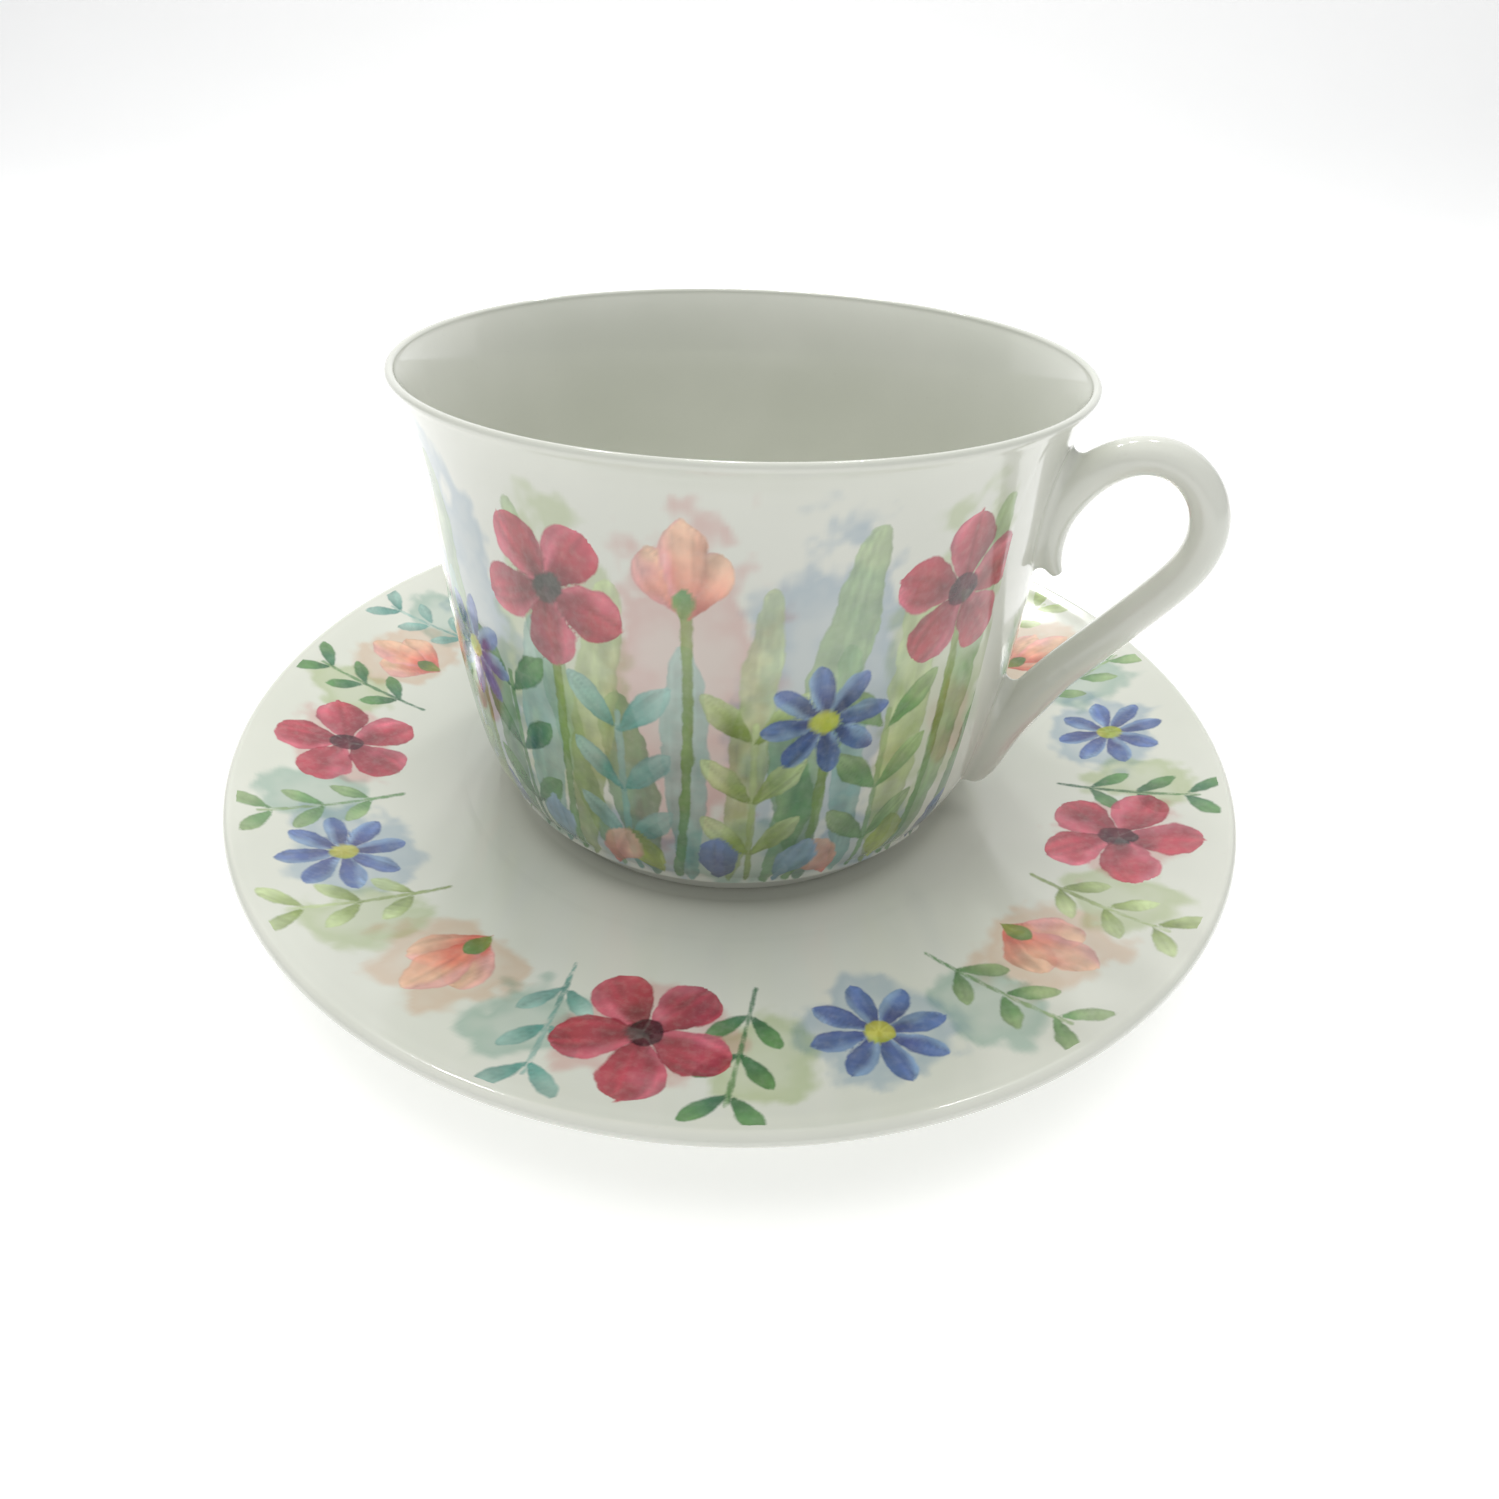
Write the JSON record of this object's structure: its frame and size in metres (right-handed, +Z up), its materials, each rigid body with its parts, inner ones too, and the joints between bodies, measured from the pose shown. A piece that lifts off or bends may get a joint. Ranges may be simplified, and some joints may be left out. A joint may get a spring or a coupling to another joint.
{
  "type": "teacup and saucer",
  "caption": "Straight-sided china teacup with a flared lip and a looped handle, standing in the well of a wide coupe saucer, both printed with loose watercolour flowers.",
  "frame": {"origin": "middle of the saucer's foot, on the table", "axes": "+Z up along the axis of the cup and saucer, +X towards the cup's handle"},
  "size_m": [0.16, 0.16, 0.0752],
  "materials": {
    "china": "glossy clear glaze over white china",
    "print": "glossy printed enamel in crimson, peach, green and blue"
  },
  "bodies": {
    "saucer": {"saucer": "china", "saucer_transfer": "print"},
    "cup": {"cup_body": "china", "handle": "china", "upper_slip_joint": "china", "lower_slip_joint": "china", "cup_transfer": "print"}
  },
  "joints": [
    {"name": "cup_lift", "type": "slide", "parent": "saucer", "child": "cup", "axis": [0, 0, 1], "range_m": [0, 0.12]}
  ]
}
